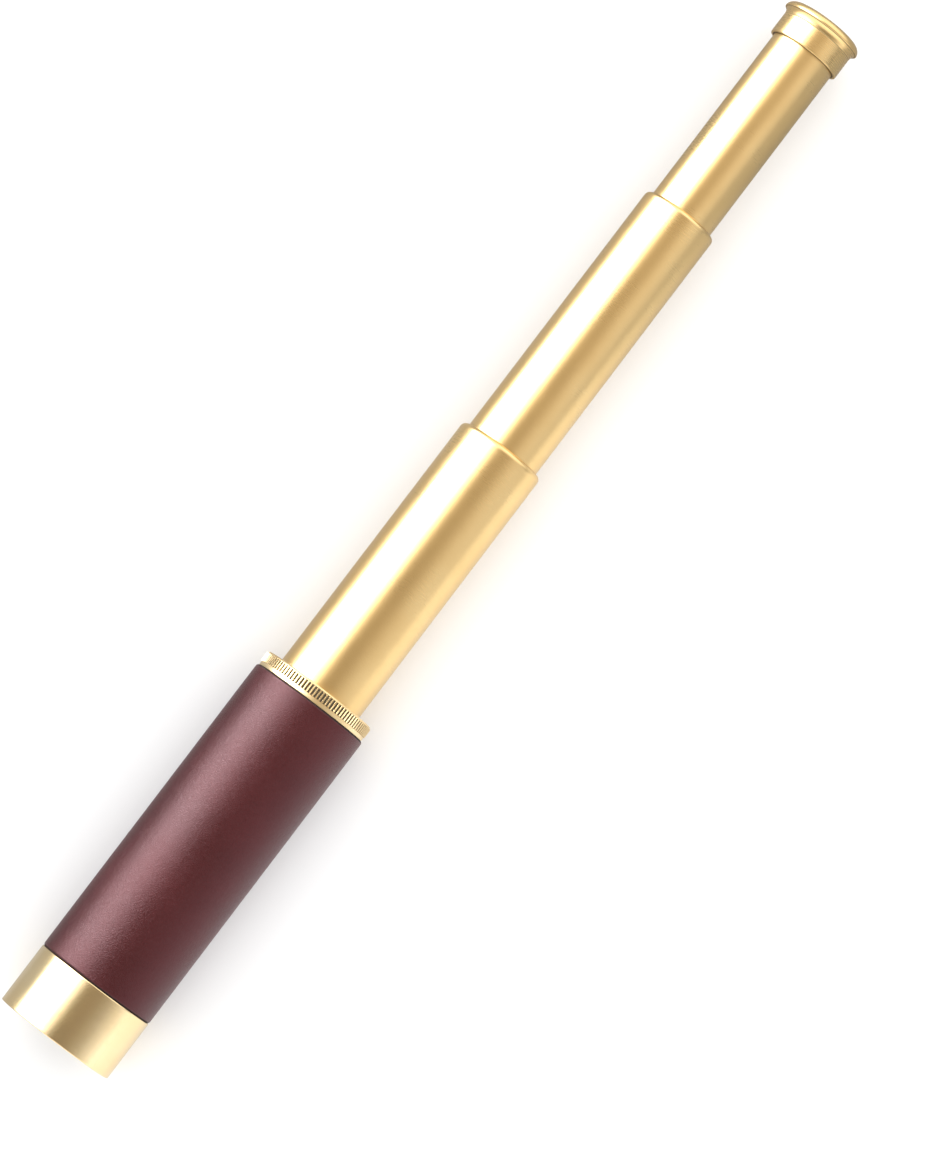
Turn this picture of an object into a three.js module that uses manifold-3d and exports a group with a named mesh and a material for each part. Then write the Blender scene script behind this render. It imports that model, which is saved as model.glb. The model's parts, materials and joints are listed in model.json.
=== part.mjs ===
// A pocket spyglass with three draw tubes. The barrel is a brass tube in a leather sleeve, between an
// objective cell at the front and a knurled end ring at the rear. The large, middle and small draw tubes
// slide into one another and into the barrel. The small tube carries the erector and the eyepiece.
//
// Every round piece is a turned profile of [station, radius] pairs, in millimetres. A station is the
// distance from the objective's rim towards the eye, with all three tubes drawn out to their stops.
// In the part's frame the optical axis lies along X with the objective at +X, +Z is up, and the origin
// is on the ground under the middle of the spyglass.
import * as THREE from "three";
import { mergeVertices } from "three/addons/utils/BufferGeometryUtils.js";
import Module from "manifold-3d";

// Outside diameters
const BARREL_D = 37;
const END_RING_D = 36.4;
const LARGE_D = 27.2;
const MIDDLE_D = 23.5;
const SMALL_D = 20.2;
const EYECUP_COLLAR_D = 22.6;
const EYECUP_RIM_D = 25;

// Lengths that show when the spyglass is drawn out
const CELL_LENGTH = 19;
const SLEEVE_LENGTH = 99;
const END_RING_LENGTH = 4.6;
const LARGE_LENGTH = 85.1;
const MIDDLE_LENGTH = 84;
const SMALL_LENGTH = 57.8;
const EYECUP_LENGTH = 10.7;

// How far each tube slides in, from its outer stop to its inner stop
const LARGE_TRAVEL = 80.5;
const MIDDLE_TRAVEL = 77.5;
const SMALL_TRAVEL = 57.5;

// Walls and clearances
const LEATHER = 0.85;
const BARREL_WALL = 0.9;
const TUBE_WALL = 0.6;
const FIXED_GAP = 0.05;
const SLIDING_GAP = 0.1;
const STOP_GAP = 0.3;

// Optics
const OBJECTIVE_R = 15.2;
const ERECTOR_R = 7.8;
const EYEPIECE_R = 8.6;

const SIDES = 24;
const KNURLS = 104;

// Stations of the visible joints
const SLEEVE_FRONT = CELL_LENGTH;
const SLEEVE_REAR = SLEEVE_FRONT + SLEEVE_LENGTH;
const END_RING_REAR = SLEEVE_REAR + END_RING_LENGTH;
const LARGE_REAR = END_RING_REAR + LARGE_LENGTH;
const MIDDLE_REAR = LARGE_REAR + MIDDLE_LENGTH;
const EYECUP_FRONT = MIDDLE_REAR + SMALL_LENGTH;
const EYE_END = EYECUP_FRONT + EYECUP_LENGTH;

// Radii of the tubes
const BARREL_R = BARREL_D / 2;
const BODY_R = BARREL_R - LEATHER - FIXED_GAP;
const BODY_BORE = BODY_R - BARREL_WALL;
const LARGE_R = LARGE_D / 2;
const LARGE_BORE = LARGE_R - TUBE_WALL;
const MIDDLE_R = MIDDLE_D / 2;
const MIDDLE_BORE = MIDDLE_R - TUBE_WALL;
const SMALL_R = SMALL_D / 2;
const SMALL_BORE = SMALL_R - TUBE_WALL;

const BRASS = { color: 0xd9ab62, roughness: 0.32, metalness: 1 };
const LEATHER_SKIN = { color: 0x5a2429, roughness: 0.5, metalness: 0 };
const BLACKENED = { color: 0x17171a, roughness: 0.7, metalness: 0.4 };
const FELT = { color: 0x23302a, roughness: 1, metalness: 0 };
const GLASS = { color: 0xdfe8ee, roughness: 0.05, metalness: 0, transparent: true, opacity: 0.35 };

const wasm = await Module();
wasm.setup();

// The profile in the order that turns it into a solid with its faces outwards.
function facingOut(profile) {
  let area = 0;
  profile.forEach(([s, r], i) => {
    const [nextS, nextR] = profile[(i + 1) % profile.length];
    area += s * nextR - nextS * r;
  });
  return area > 0 ? [...profile].reverse() : profile;
}

// A ring, tube or disc turned from a profile. Its flats, and not its corners, stand at the radii given.
function turned(profile) {
  const onAxis = profile.some(([, r]) => r === 0);
  const widen = 1 / Math.cos(Math.PI / SIDES);
  const points = facingOut(profile).map(([s, r]) => new THREE.Vector2(r * widen, s));
  if (!onAxis) points.push(points[0].clone());
  return new THREE.LatheGeometry(points, SIDES, Math.PI / SIDES);
}

function tube(front, rear, bore, outside) {
  return turned([[front, bore], [front, outside], [rear, outside], [rear, bore]]);
}

// Points of an arc about [s, r], with angles in degrees: 0 points to the eye, 90 points outwards.
function arc([s, r], radius, from, to, steps) {
  return Array.from({ length: steps + 1 }, (_, i) => {
    const angle = THREE.MathUtils.degToRad(from + ((to - from) * i) / steps);
    return [s + radius * Math.cos(angle), r + radius * Math.sin(angle)];
  });
}

const sagitta = (curve, r) => curve - Math.sqrt(curve * curve - r * r);

// One face of a lens from the axis to its edge. A positive bulge swells towards the eye.
function lensFace(edge, radius, curve, bulge) {
  const steps = 3;
  return Array.from({ length: steps + 1 }, (_, i) => {
    const r = (radius * i) / steps;
    const swell = curve === Infinity ? 0 : sagitta(curve, radius) - sagitta(curve, r);
    return [edge + bulge * swell, r];
  });
}

// A lens between two edge stations, each face with its curve and the way it swells.
function lens(radius, [frontEdge, frontCurve, frontBulge], [rearEdge, rearCurve, rearBulge]) {
  const front = lensFace(frontEdge, radius, frontCurve, frontBulge);
  const rear = lensFace(rearEdge, radius, rearCurve, rearBulge).reverse();
  return turned([...front, ...rear]);
}

function solidOf(geometry) {
  const bare = geometry.clone();
  bare.deleteAttribute("normal");
  bare.deleteAttribute("uv");
  const merged = mergeVertices(bare, 1e-4);
  const vertProperties = merged.attributes.position.array;
  const triVerts = new Uint32Array(merged.index.array);
  return new wasm.Manifold(new wasm.Mesh({ numProp: 3, vertProperties, triVerts }));
}

function geometryOf(solid) {
  const mesh = solid.getMesh();
  const geometry = new THREE.BufferGeometry();
  geometry.setAttribute("position", new THREE.BufferAttribute(mesh.vertProperties, 3));
  geometry.setIndex(new THREE.BufferAttribute(mesh.triVerts, 1));
  return geometry;
}

// A bar along the turning axis, for cutting: between two stations, with its middle at [x, z].
function bar(front, rear, [x, z], width, depth) {
  const box = new THREE.BoxGeometry(width, rear - front, depth);
  box.translate(x, (front + rear) / 2, z);
  return solidOf(box);
}

function piece(name, geometry, look) {
  const mesh = new THREE.Mesh(geometry, new THREE.MeshStandardMaterial(look));
  mesh.name = name;
  return mesh;
}

// ---- Barrel -------------------------------------------------------------------------------------

const CELL_INNER_LIP = 13.2;
const LENS_SEAT = 10.15;
const SOCKET_FLOOR = 12.4;
const MOUTH_R = 17.4;
const THREAD_CREST_R = 16.9;
const RETAINER_FRONT = 4.3;
const RETAINER_REAR = 5.5;

// The thread in the cell's thin mouth: a row of ridges towards the eye. The last one runs on as a
// plain bore, where the retaining ring sits.
function mouthThread() {
  const first = 0.45;
  const pitch = 1.15;
  const turns = 3;
  const ridges = Array.from({ length: turns }, (_, turn) => {
    const start = first + turn * pitch;
    return [
      [start, MOUTH_R],
      [start + pitch * 0.4, THREAD_CREST_R],
      [start + pitch * 0.6, THREAD_CREST_R],
    ];
  });
  const last = first + turns * pitch;
  return [...ridges.flat(), [last, MOUTH_R], [last + pitch * 0.4, THREAD_CREST_R]];
}

function objectiveCell() {
  const edge = 0.3;
  const mouthEdge = 0.15;
  const seatWall = OBJECTIVE_R + SLIDING_GAP;
  const socket = BODY_R + FIXED_GAP;
  return turned([
    [0, BARREL_R - edge],
    [edge, BARREL_R],
    [CELL_LENGTH - 0.2, BARREL_R],
    [CELL_LENGTH, BARREL_R - 0.2],
    [CELL_LENGTH, socket],
    [SOCKET_FLOOR, socket],
    [SOCKET_FLOOR, BODY_BORE - FIXED_GAP],
    [CELL_INNER_LIP, BODY_BORE - FIXED_GAP],
    [CELL_INNER_LIP, OBJECTIVE_R - 0.6],
    [LENS_SEAT, OBJECTIVE_R - 0.6],
    [LENS_SEAT, seatWall],
    [RETAINER_REAR + 0.1, seatWall],
    [RETAINER_REAR + 0.1, THREAD_CREST_R],
    ...mouthThread().reverse(),
    [mouthEdge, MOUTH_R],
    [0, MOUTH_R + mouthEdge],
  ]);
}

// The screwed ring in front of the objective, with two slots for a lens spanner.
function objectiveRetainer() {
  const bore = OBJECTIVE_R - 0.4;
  const outside = THREAD_CREST_R - 0.1;
  let ring = solidOf(tube(RETAINER_FRONT, RETAINER_REAR, bore, outside));
  for (const side of [-1, 1]) {
    const slot = bar(RETAINER_FRONT - 1, RETAINER_FRONT + 0.6, [0, side * bore], 1.4, 3);
    ring = ring.subtract(slot);
  }
  return geometryOf(ring);
}

const CROWN_FRONT = 5.65;
const CROWN_REAR = 6.95;
const CEMENTED_CURVE = 65;

const crownLens = lens(OBJECTIVE_R, [CROWN_FRONT, 95, -1], [CROWN_REAR, CEMENTED_CURVE, 1]);
const flintLens = lens(
  OBJECTIVE_R,
  [CROWN_REAR + FIXED_GAP, CEMENTED_CURVE, 1],
  [LENS_SEAT - FIXED_GAP, Infinity, 0],
);

function leatherSleeve() {
  const soft = 0.2;
  const front = SLEEVE_FRONT + FIXED_GAP;
  const rear = SLEEVE_REAR - FIXED_GAP;
  return turned([
    [front, BARREL_R - LEATHER],
    [front, BARREL_R - soft],
    [front + soft, BARREL_R],
    [rear - soft, BARREL_R],
    [rear, BARREL_R - soft],
    [rear, BARREL_R - LEATHER],
  ]);
}

// The front end of the large tube, and of the stop ring on it, which lands on the cell's inner lip.
const LARGE_STOP_FRONT = CELL_INNER_LIP + STOP_GAP + LARGE_TRAVEL;
const STOP_RING_LENGTH = 5;
const NECK_FRONT = LARGE_STOP_FRONT + STOP_RING_LENGTH + STOP_GAP;
const BARREL_FELT = [NECK_FRONT + 5.8, NECK_FRONT + 10];
const FELT_DEPTH = 1.5;

// The knurled end ring: a long neck inside the barrel that guides the large tube, and a flange that
// closes the sleeve. The knurls stand between two plain bands.
function knurledEndRing() {
  const bore = LARGE_R + SLIDING_GAP;
  const neck = BODY_BORE - FIXED_GAP;
  const ringR = END_RING_D / 2;
  const plain = ringR - 0.3;
  const knurlFront = SLEEVE_REAR + 0.8;
  const knurlRear = END_RING_REAR - 0.5;
  const body = turned([
    [NECK_FRONT, bore],
    [NECK_FRONT, neck],
    [SLEEVE_REAR, neck],
    [SLEEVE_REAR, plain],
    [END_RING_REAR - 0.3, plain],
    [END_RING_REAR, plain - 0.3],
    [END_RING_REAR, bore + 0.4],
    [END_RING_REAR - 0.4, bore],
    [BARREL_FELT[1], bore],
    [BARREL_FELT[1], bore + FELT_DEPTH],
    [BARREL_FELT[0], bore + FELT_DEPTH],
    [BARREL_FELT[0], bore],
  ]);
  const outline = Array.from({ length: 2 * KNURLS }, (_, i) => {
    const r = i % 2 ? ringR : ringR - 0.45;
    const angle = (Math.PI * i) / KNURLS;
    return new THREE.Vector2(r * Math.cos(angle), r * Math.sin(angle));
  });
  const shape = new THREE.Shape(outline);
  shape.holes.push(new THREE.Path().absarc(0, 0, neck, 0, 2 * Math.PI, true));
  const options = { depth: knurlRear - knurlFront, bevelEnabled: false, curveSegments: SIDES / 2 };
  const band = new THREE.ExtrudeGeometry(shape, options);
  band.rotateX(-Math.PI / 2);
  band.translate(0, knurlFront, 0);
  return geometryOf(solidOf(body).add(solidOf(band)));
}

const barrel = new THREE.Group();
barrel.add(
  piece("objective_cell", objectiveCell(), BRASS),
  piece("objective_retaining_ring", objectiveRetainer(), BRASS),
  piece("objective_crown_lens", crownLens, GLASS),
  piece("objective_flint_lens", flintLens, GLASS),
  piece("barrel_tube", tube(SOCKET_FLOOR + 0.1, SLEEVE_REAR - FIXED_GAP, BODY_BORE, BODY_R), BLACKENED),
  piece("leather_sleeve", leatherSleeve(), LEATHER_SKIN),
  piece("knurled_end_ring", knurledEndRing(), BRASS),
  piece("barrel_friction_felt", feltRing(BARREL_FELT, LARGE_R, FELT_DEPTH), FELT),
);

// ---- Draw tubes ---------------------------------------------------------------------------------

// The felt that grips a sliding tube, in the groove of the piece that guides it.
function feltRing([front, rear], tubeR, depth) {
  const outside = tubeR + SLIDING_GAP + depth - FIXED_GAP;
  return tube(front + FIXED_GAP, rear - FIXED_GAP, tubeR + FIXED_GAP, outside);
}

// A draw tube whose rear end is rolled in to a rounded shoulder round the next tube.
function rolledTube(front, rear, outside, mouth, corner) {
  const bore = outside - TUBE_WALL;
  const turn = [rear - corner, outside - corner];
  return turned([
    [front, bore],
    [front, outside],
    ...arc(turn, corner, 90, 0, 4),
    [rear, mouth],
    [rear - TUBE_WALL, mouth],
    ...arc(turn, corner - TUBE_WALL, 0, 90, 2),
  ]);
}

// The bush behind a rolled shoulder, with a groove for its felt. The next tube slides in it.
function guideBush(front, rear, bore, outside, felt, depth) {
  const relief = 1;
  return turned([
    [front, bore],
    [front, outside],
    [rear - relief, outside],
    [rear, outside - relief + 0.05],
    [rear, bore],
    [felt[1], bore],
    [felt[1], bore + depth],
    [felt[0], bore + depth],
    [felt[0], bore],
  ]);
}

const MOUTH_GAP = 0.15;
const SHOULDER_GAP = 0.1;
const BUSH_FELT_LENGTH = 3.1;
const COLLAR_LENGTH = 6.2;
const LIP = 1.2;
const LARGE_FELT_DEPTH = 0.7;
const MIDDLE_FELT_DEPTH = 0.6;

// The collar round a tube, which slides in the next tube's bore and stops against its bush.
function stopCollar(front, tubeR, bore) {
  return tube(front, front + COLLAR_LENGTH, tubeR + FIXED_GAP, bore - SLIDING_GAP);
}

// Large tube: its stop ring carries a lip across the tube's front end, where the middle tube lands.
const LARGE_FRONT = LARGE_STOP_FRONT + LIP;
const MIDDLE_FRONT = LARGE_FRONT + STOP_GAP + MIDDLE_TRAVEL;
const MIDDLE_STOP_FRONT = MIDDLE_FRONT + 7.6;
const LARGE_BUSH_FRONT = MIDDLE_STOP_FRONT + COLLAR_LENGTH + STOP_GAP;
const LARGE_FELT = [LARGE_BUSH_FRONT + 4.5, LARGE_BUSH_FRONT + 4.5 + BUSH_FELT_LENGTH];

function largeStopRing() {
  const hole = MIDDLE_R - 0.55;
  const outside = BODY_BORE - SLIDING_GAP;
  const rear = LARGE_STOP_FRONT + STOP_RING_LENGTH;
  return turned([
    [LARGE_STOP_FRONT, hole],
    [LARGE_STOP_FRONT, outside],
    [rear, outside],
    [rear, LARGE_R + FIXED_GAP],
    [LARGE_FRONT, LARGE_R + FIXED_GAP],
    [LARGE_FRONT, hole],
  ]);
}

function largeBush() {
  const rear = LARGE_REAR - TUBE_WALL - SHOULDER_GAP;
  const bore = MIDDLE_R + SLIDING_GAP;
  return guideBush(LARGE_BUSH_FRONT, rear, bore, LARGE_BORE - FIXED_GAP, LARGE_FELT, LARGE_FELT_DEPTH);
}

const largeDraw = new THREE.Group();
largeDraw.add(
  piece(
    "large_draw_tube",
    rolledTube(LARGE_FRONT + FIXED_GAP, LARGE_REAR, LARGE_R, MIDDLE_R + MOUTH_GAP, 1.5),
    BRASS,
  ),
  piece("large_stop_ring", largeStopRing(), BLACKENED),
  piece("large_guide_bush", largeBush(), BRASS),
  piece("large_friction_felt", feltRing(LARGE_FELT, MIDDLE_R, LARGE_FELT_DEPTH), FELT),
);

// Middle tube: a stop ring round it, and a diaphragm in its front end where the erector lands.
const SMALL_STOP_FRONT = MIDDLE_REAR - 19.3;
const DIAPHRAGM_REAR = MIDDLE_FRONT + FIXED_GAP + LIP;
const ERECTOR_FRONT = DIAPHRAGM_REAR + STOP_GAP + SMALL_TRAVEL;
const MIDDLE_BUSH_FRONT = SMALL_STOP_FRONT + COLLAR_LENGTH + STOP_GAP;
const MIDDLE_FELT = [MIDDLE_BUSH_FRONT + 4.1, MIDDLE_BUSH_FRONT + 4.1 + BUSH_FELT_LENGTH];

function middleBush() {
  const rear = MIDDLE_REAR - TUBE_WALL - SHOULDER_GAP;
  const bore = SMALL_R + SLIDING_GAP;
  return guideBush(MIDDLE_BUSH_FRONT, rear, bore, MIDDLE_BORE - FIXED_GAP, MIDDLE_FELT, MIDDLE_FELT_DEPTH);
}

const middleDraw = new THREE.Group();
middleDraw.add(
  piece(
    "middle_draw_tube",
    rolledTube(MIDDLE_FRONT, MIDDLE_REAR, MIDDLE_R, SMALL_R + MOUTH_GAP, 1.3),
    BRASS,
  ),
  piece("middle_stop_ring", stopCollar(MIDDLE_STOP_FRONT, MIDDLE_R, LARGE_BORE), BRASS),
  piece(
    "middle_diaphragm",
    tube(MIDDLE_FRONT + FIXED_GAP, DIAPHRAGM_REAR, 7.5, MIDDLE_BORE - FIXED_GAP),
    BLACKENED,
  ),
  piece("middle_guide_bush", middleBush(), BRASS),
  piece("middle_friction_felt", feltRing(MIDDLE_FELT, SMALL_R, MIDDLE_FELT_DEPTH), FELT),
);

// ---- Small tube, erector and eyepiece -----------------------------------------------------------

const SMALL_FRONT = SMALL_STOP_FRONT - 2.5;
const SMALL_TUBE_REAR = EYECUP_FRONT + 4.7;
const CELL_GAP = 0.1;

// Erector: two equal lenses at the ends of a narrow tube, each against a shoulder, with a stop between.
const ERECTOR_TUBE_R = 8.5;
const ERECTOR_BORE = ERECTOR_R + CELL_GAP;
const ERECTOR_CURVE = 25;
const ERECTOR_EDGE = 2;
const ERECTOR_REAR = SMALL_FRONT + 6;
const SHOULDER_R = 6.9;
const FRONT_LENS = ERECTOR_FRONT + 4.4;
const REAR_LENS = ERECTOR_FRONT + 35.4;
// How far a lens face has swollen in from its centre's edge by the shoulder's radius
const SHOULDER_SWELL = sagitta(ERECTOR_CURVE, ERECTOR_R) - sagitta(ERECTOR_CURVE, SHOULDER_R);
const SEAT_OFFSET = ERECTOR_EDGE / 2 + SHOULDER_SWELL + 0.1;
const SHOULDER_LENGTH = 1;

function erectorTube() {
  const frontShoulder = FRONT_LENS + SEAT_OFFSET;
  const rearShoulder = REAR_LENS - SEAT_OFFSET;
  const collar = SMALL_BORE - FIXED_GAP;
  return turned([
    [ERECTOR_FRONT, ERECTOR_TUBE_R],
    [SMALL_FRONT + 1, ERECTOR_TUBE_R],
    [SMALL_FRONT + 1, collar],
    [ERECTOR_REAR, collar],
    [ERECTOR_REAR, ERECTOR_BORE],
    [rearShoulder, ERECTOR_BORE],
    [rearShoulder, SHOULDER_R],
    [rearShoulder - SHOULDER_LENGTH, SHOULDER_R],
    [rearShoulder - SHOULDER_LENGTH, ERECTOR_BORE],
    [frontShoulder + SHOULDER_LENGTH, ERECTOR_BORE],
    [frontShoulder + SHOULDER_LENGTH, SHOULDER_R],
    [frontShoulder, SHOULDER_R],
    [frontShoulder, ERECTOR_BORE],
    [ERECTOR_FRONT, ERECTOR_BORE],
  ]);
}

function erectorLens(middle) {
  const half = ERECTOR_EDGE / 2;
  return lens(ERECTOR_R, [middle - half, ERECTOR_CURVE, -1], [middle + half, ERECTOR_CURVE, 1]);
}

function erectorStop() {
  const front = ERECTOR_FRONT + 18.4;
  const hole = 2.5;
  return tube(front, front + 0.8, hole, ERECTOR_BORE - FIXED_GAP);
}

function erectorRing(front, rear) {
  return tube(front, rear, SHOULDER_R, ERECTOR_BORE - FIXED_GAP);
}

// Eyepiece: field lens and eye lens in a cell, flat sides to the eye, with a field stop and a spacer.
const EYEPIECE_BORE = EYEPIECE_R + CELL_GAP;
const EYEPIECE_CELL_FRONT = SMALL_TUBE_REAR - 32;
const CELL_LIP = 0.8;
const EYE_LENS_REAR = SMALL_TUBE_REAR - CELL_LIP - 0.1;
const EYE_LENS_EDGE = EYE_LENS_REAR - 1.2;
const EYE_CURVE = 16;
const FIELD_LENS_REAR = EYE_LENS_REAR - 22.4;
const FIELD_LENS_EDGE = FIELD_LENS_REAR - 1.4;
const FIELD_CURVE = 20;
const SPACER_BORE = 7.8;
const FIELD_RING_BORE = 7.6;
const FIELD_RING_LENGTH = 2.6;
const FIELD_STOP = [FIELD_LENS_REAR + 0.1, FIELD_LENS_REAR + 0.6];

// The station of a front face that swells to the objective, at radius r, with a small gap before it.
function beforeFace(edge, radius, curve, r) {
  return edge - sagitta(curve, radius) + sagitta(curve, r) - 0.1;
}

function eyepieceCell() {
  const opening = 6;
  const outside = SMALL_BORE - FIXED_GAP;
  return turned([
    [EYEPIECE_CELL_FRONT, EYEPIECE_BORE],
    [EYEPIECE_CELL_FRONT, outside],
    [SMALL_TUBE_REAR, outside],
    [SMALL_TUBE_REAR, opening],
    [SMALL_TUBE_REAR - CELL_LIP, opening],
    [SMALL_TUBE_REAR - CELL_LIP, EYEPIECE_BORE],
  ]);
}

// The flared cup that screws on the small tube's rear end: a collar, a hollow flare, a rim that stands
// proud of it, and a dish that falls to the eye hole.
function eyecup() {
  const collar = EYECUP_COLLAR_D / 2;
  const rim = EYECUP_RIM_D / 2;
  const rimFront = EYE_END - 2.2;
  const flareFront = EYE_END - 4.4;
  const flareCurve = 3.6;
  const rimCurve = 1.2;
  const shoulder = SMALL_TUBE_REAR + 0.1;
  const eyeHole = 5.5;
  return turned([
    [EYECUP_FRONT, SMALL_R + FIXED_GAP],
    [EYECUP_FRONT, collar - 0.3],
    [EYECUP_FRONT + 0.3, collar],
    ...arc([flareFront, collar + flareCurve], flareCurve, -90, -52.5, 3),
    [rimFront, rim - 0.15],
    [rimFront + 0.15, rim],
    ...arc([EYE_END - rimCurve, rim - rimCurve], rimCurve, 90, -60, 5),
    [EYE_END - 3.2, eyeHole + 1.4],
    [EYE_END - 3.6, eyeHole],
    [shoulder, eyeHole],
    [shoulder, SMALL_R + FIXED_GAP],
  ]);
}

const spacerRear = beforeFace(EYE_LENS_EDGE, EYEPIECE_R, EYE_CURVE, SPACER_BORE);
const fieldRingRear = beforeFace(FIELD_LENS_EDGE, EYEPIECE_R, FIELD_CURVE, FIELD_RING_BORE);
const fieldRingFront = fieldRingRear - FIELD_RING_LENGTH;
const fieldLensRing = tube(fieldRingFront, fieldRingRear, FIELD_RING_BORE, EYEPIECE_R);
const eyepieceLens = (edge, rear, curve) => lens(EYEPIECE_R, [edge, curve, -1], [rear, Infinity, 0]);

const smallDraw = new THREE.Group();
smallDraw.add(
  piece("small_draw_tube", tube(SMALL_FRONT, SMALL_TUBE_REAR, SMALL_BORE, SMALL_R), BRASS),
  piece("small_stop_ring", stopCollar(SMALL_STOP_FRONT, SMALL_R, MIDDLE_BORE), BRASS),
  piece("erector_tube", erectorTube(), BLACKENED),
  piece("erector_front_ring", erectorRing(ERECTOR_FRONT + 0.1, FRONT_LENS - SEAT_OFFSET), BLACKENED),
  piece("erector_front_lens", erectorLens(FRONT_LENS), GLASS),
  piece("erector_stop", erectorStop(), BLACKENED),
  piece("erector_rear_lens", erectorLens(REAR_LENS), GLASS),
  piece("erector_rear_ring", erectorRing(REAR_LENS + SEAT_OFFSET, ERECTOR_REAR - 0.5), BLACKENED),
  piece("eyepiece_cell", eyepieceCell(), BLACKENED),
  piece("field_lens_ring", fieldLensRing, BLACKENED),
  piece("field_lens", eyepieceLens(FIELD_LENS_EDGE, FIELD_LENS_REAR, FIELD_CURVE), GLASS),
  piece("field_stop", tube(...FIELD_STOP, 5.2, EYEPIECE_R), BLACKENED),
  piece("eyepiece_spacer", tube(FIELD_STOP[1] + 0.1, spacerRear, SPACER_BORE, EYEPIECE_R), BLACKENED),
  piece("eye_lens", eyepieceLens(EYE_LENS_EDGE, EYE_LENS_REAR, EYE_CURVE), GLASS),
  piece("eyecup", eyecup(), BRASS),
);

// The turning axis is Y until here: laid along X, objective forwards, resting on the barrel.
const spyglass = new THREE.Group();
spyglass.add(barrel, largeDraw, middleDraw, smallDraw);
spyglass.rotation.z = Math.PI / 2;
spyglass.position.set(EYE_END / 2, 0, BARREL_R);

const root = new THREE.Group();
root.add(spyglass);
export default root;
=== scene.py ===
import json
import math
from collections import namedtuple

import bmesh
import bpy
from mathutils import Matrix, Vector


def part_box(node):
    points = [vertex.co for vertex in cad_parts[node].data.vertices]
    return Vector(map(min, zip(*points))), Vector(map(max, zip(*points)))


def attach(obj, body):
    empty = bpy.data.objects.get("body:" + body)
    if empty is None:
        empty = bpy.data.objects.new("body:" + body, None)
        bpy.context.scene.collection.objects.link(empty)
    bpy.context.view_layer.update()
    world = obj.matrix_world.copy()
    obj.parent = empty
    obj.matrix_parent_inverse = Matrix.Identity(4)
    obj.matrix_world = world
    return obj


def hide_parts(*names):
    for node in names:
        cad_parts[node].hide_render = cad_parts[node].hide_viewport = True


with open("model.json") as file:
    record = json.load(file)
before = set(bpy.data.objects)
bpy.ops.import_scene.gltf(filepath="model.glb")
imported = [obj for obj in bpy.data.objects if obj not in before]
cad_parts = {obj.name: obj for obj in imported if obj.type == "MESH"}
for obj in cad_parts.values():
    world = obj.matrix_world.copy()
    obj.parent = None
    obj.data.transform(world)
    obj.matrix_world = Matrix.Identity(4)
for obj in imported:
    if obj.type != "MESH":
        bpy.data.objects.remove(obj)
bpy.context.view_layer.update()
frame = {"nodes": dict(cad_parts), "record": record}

MM = 0.001

# Sides of a turned piece, the usual rounding of a corner and the steps it is made in, and the angle
# from which an edge is shaded as sharp
SIDES = 160
SOFT = 0.08
SOFT_STEPS = 3
SHARP_ANGLE = math.radians(38)

# The CAD solids have this many sides, and a row of their corners stands half a side from straight up.
CAD_SIDES = 24
CAD_CORNER = math.pi / CAD_SIDES

# Anything this close to the axis is on it, and angles this close are the same.
ON_AXIS = 1e-6
SAME_ANGLE = 1e-3

TUBE_WALL = 0.6
BARREL_WALL = 0.9
FIXED_GAP = 0.05
THREAD_FIRST = 0.45
THREAD_TURNS = 3
THREAD_PITCH = 1.15
KNURLS = 104
KNURL_DEPTH = 0.42
SEAM_ANGLE = math.radians(148)

# The camera aims at a point at the height of the axis, given as its x and y, and looks from this
# distance and direction. Lengths are in millimetres and angles in degrees.
CAMERA_AIM = (5.65, 14.8)
CAMERA_DISTANCE = 1520
CAMERA_AZIMUTH = 127.1
CAMERA_ELEVATION = 84.7
CAMERA_LENS = 168.8

# Where a CAD node lies, a patch of painted shade, a box to cut out and one face of a lens
Span = namedtuple("Span", "front rear radius")
Patch = namedtuple("Patch", "front rear inner outer amount")
Slot = namedtuple("Slot", "front rear middle size")
Face = namedtuple("Face", "station curve bulge")

# How a lens face bulges
TO_EYE = 1
TO_OBJECT = -1
FLAT = 0


# ---- Places from the frame ----------------------------------------------------------------------

FRONT_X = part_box("objective_cell")[1].x
AXIS_Z = sum(corner.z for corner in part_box("objective_cell")) / 2


def span(node):
    """Front station, rear station and outside radius of a CAD node, in millimetres."""
    low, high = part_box(node)
    return Span((FRONT_X - high.x) / MM, (FRONT_X - low.x) / MM, (high.z - low.z) / 2 / MM)


def body_of(node):
    bodies = frame["record"]["behaviour"]["bodies"]
    return next(name for name, nodes in bodies.items() if node in nodes)


def meridian(node):
    """The outline that a CAD node was turned from, in order."""
    mesh = frame["nodes"][node].data

    def flat(vertex):
        across = math.hypot(vertex.co.y, vertex.co.z - AXIS_Z)
        angle = math.atan2(vertex.co.y, vertex.co.z - AXIS_Z)
        on_axis = across < ON_AXIS
        if not on_axis and abs(angle - CAD_CORNER) > SAME_ANGLE:
            return None
        radius = 0.0 if on_axis else across * math.cos(CAD_CORNER) / MM
        return ((FRONT_X - vertex.co.x) / MM, radius)

    points = {vertex.index: flat(vertex) for vertex in mesh.vertices}
    next_to = {}
    for edge in mesh.edges:
        a, b = edge.vertices
        both_on_axis = points[a] and points[b] and points[a][1] == points[b][1] == 0
        if points[a] and points[b] and not both_on_axis:
            next_to.setdefault(a, []).append(b)
            next_to.setdefault(b, []).append(a)
    ends = [index for index, others in next_to.items() if len(others) == 1]
    order = [ends[0] if ends else next(iter(next_to))]
    while True:
        onward = [index for index in next_to[order[-1]] if index not in order]
        if not onward:
            return [points[index] for index in order]
        order.append(onward[0])


CELL = span("objective_cell")
SLEEVE = span("leather_sleeve")
END_RING = span("knurled_end_ring")
BARREL = span("barrel_tube")
RETAINER = span("objective_retaining_ring")
CROWN = span("objective_crown_lens")
FLINT = span("objective_flint_lens")
LARGE = span("large_draw_tube")
MIDDLE = span("middle_draw_tube")
SMALL = span("small_draw_tube")
EYECUP = span("eyecup")

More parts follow.
